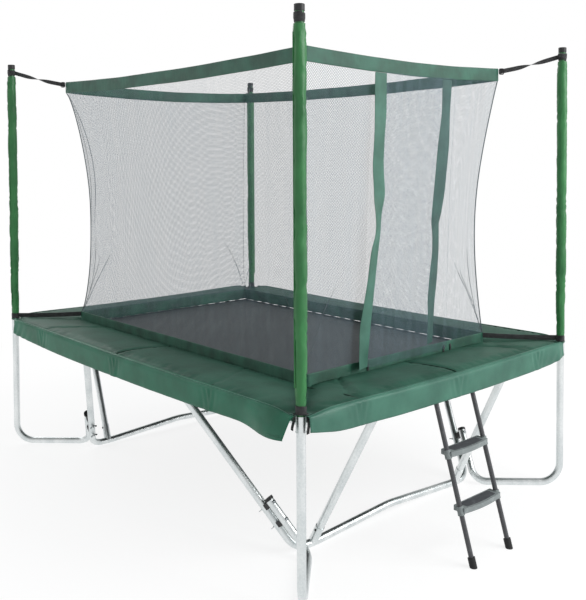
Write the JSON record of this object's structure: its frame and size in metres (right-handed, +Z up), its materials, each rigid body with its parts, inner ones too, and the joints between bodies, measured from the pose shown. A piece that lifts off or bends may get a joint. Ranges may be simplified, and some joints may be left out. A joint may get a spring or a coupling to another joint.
{
  "type": "trampoline",
  "caption": "Rectangular garden trampoline on a bent tube frame with a sprung mat, green edge pads, a tall safety net with a lapped door, and a hook-on ladder.",
  "frame": {"origin": "on the ground under the middle of the jump mat", "axes": "+Z up, +X along the short side to the right as seen from the door, +Y along the long side away from the door and the ladder"},
  "size_m": [2.226, 3.3543, 2.6501],
  "materials": {
    "galvanised_steel": "satin galvanised",
    "zinc_wire": "zinc plated",
    "black_plastic": "moulded",
    "dark_steel": "blackened",
    "green_paint": "powder coat",
    "green_cover": "coated polyester over foam",
    "black_webbing": "woven webbing",
    "mat_fabric": "woven mat",
    "net_mesh": "fine netting",
    "green_band": "coated polyester",
    "grey_ladder_paint": "powder coat",
    "grey_tread_plastic": "moulded, ribbed top",
    "black_rubber": "matt"
  },
  "bodies": {
    "frame": {"corner_front_left": "galvanised_steel", "corner_front_right": "galvanised_steel", "corner_back_left": "galvanised_steel", "corner_back_right": "galvanised_steel", "long_rail_left_front": "galvanised_steel", "long_rail_left_back": "galvanised_steel", "long_rail_right_front": "galvanised_steel", "long_rail_right_back": "galvanised_steel", "short_rail_front": "galvanised_steel", "short_rail_back": "galvanised_steel", "upright_front_left": "galvanised_steel", "upright_front_right": "galvanised_steel", "upright_back_left": "galvanised_steel", "upright_back_right": "galvanised_steel", "foot_front_left": "galvanised_steel", "foot_front_right": "galvanised_steel", "foot_back_left": "galvanised_steel", "foot_back_right": "galvanised_steel", "u_frame_front": "galvanised_steel", "u_frame_back": "galvanised_steel", "brace_front_left": "galvanised_steel", "brace_front_right": "galvanised_steel", "brace_back_left": "galvanised_steel", "brace_back_right": "galvanised_steel", "wing_nuts": "galvanised_steel", "springs": "zinc_wire", "toe_caps": "black_plastic", "clamp_saddles": "black_plastic", "pole_caps": "black_plastic", "strap_buckles": "black_plastic", "clamp_bolts": "dark_steel", "joint_screws": "dark_steel", "net_pole_front_left": "green_paint", "net_pole_front_right": "green_paint", "net_pole_back_left": "green_paint", "net_pole_back_right": "green_paint", "pole_sleeves": "green_cover", "pad_front": "green_cover", "pad_front_skirt": "green_cover", "pad_back": "green_cover", "pad_left": "green_cover", "pad_right": "green_cover", "pole_wraps": "black_webbing", "net_straps": "black_webbing", "net_wall_left": "net_mesh", "net_wall_right": "net_mesh", "net_wall_back": "net_mesh", "net_wall_front": "net_mesh", "net_wall_door_side": "net_mesh", "net_top_band": "green_band", "net_bottom_band": "green_band"},
    "mat": {"jump_mat": "mat_fabric", "mat_rings": "zinc_wire"},
    "door_outer": {"door_flap_outer": "net_mesh"},
    "door_inner": {"door_flap_inner": "net_mesh"},
    "ladder": {"ladder_rail_left": "grey_ladder_paint", "ladder_rail_right": "grey_ladder_paint", "ladder_treads": "grey_tread_plastic", "ladder_feet": "black_rubber", "ladder_hooks": "grey_ladder_paint"}
  },
  "joints": [
    {"name": "mat_bounce", "type": "slide", "parent": "frame", "child": "mat", "axis": [0, 0, 1], "range_m": [-0.35, 0], "stiffness_N_per_m": 5000, "springref_m": 0.03, "deforming": ["springs"]},
    {"name": "ladder_swing", "type": "hinge", "parent": "frame", "child": "ladder", "pos_m": [-0.015, -1.505, 0.85], "axis": [-1, 0, 0], "range_deg": [0, 45], "deforming": ["pad_front_skirt"]},
    {"name": "door_outer_swing", "type": "hinge", "parent": "frame", "child": "door_outer", "pos_m": [0.372, -1.24, 1.66], "axis": [0, 0, 1], "range_deg": [0, 80]},
    {"name": "door_inner_swing", "type": "hinge", "parent": "frame", "child": "door_inner", "pos_m": [-0.31, -1.165, 1.66], "axis": [0, 0, 1], "range_deg": [0, 80]}
  ]
}
